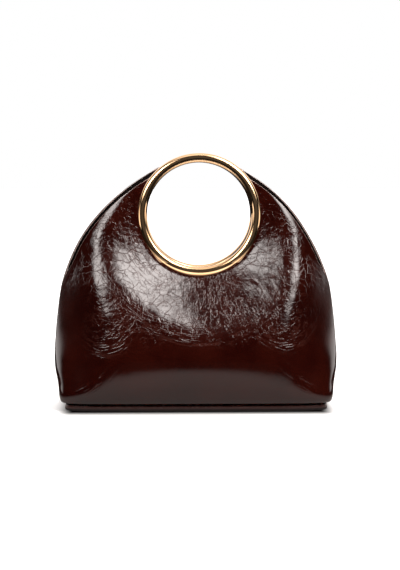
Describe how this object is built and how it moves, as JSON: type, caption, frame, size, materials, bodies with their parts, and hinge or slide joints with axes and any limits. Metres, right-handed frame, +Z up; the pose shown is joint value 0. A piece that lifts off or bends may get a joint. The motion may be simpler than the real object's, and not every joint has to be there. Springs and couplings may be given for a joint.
{
  "type": "handbag",
  "caption": "Half-moon handbag of glossy crinkled dark oxblood leather on a flat base, open along the top, with a round polished rose-gold ring handle on each side.",
  "frame": {"origin": "middle of the base's underside, under the middle of the bag's bounding box", "axes": "+X along the bag's length to the right seen from the front, +Y to the back, +Z up; the front faces -Y"},
  "size_m": [0.2536, 0.1098, 0.227],
  "materials": {
    "leather": "glossy crinkled",
    "base_leather": "glossy smooth",
    "gold": "polished pale rose gold"
  },
  "bodies": {
    "root": {"base": "base_leather", "front_panel": "leather", "back_panel": "leather", "front_ring": "gold", "back_ring": "gold"}
  },
  "joints": []
}
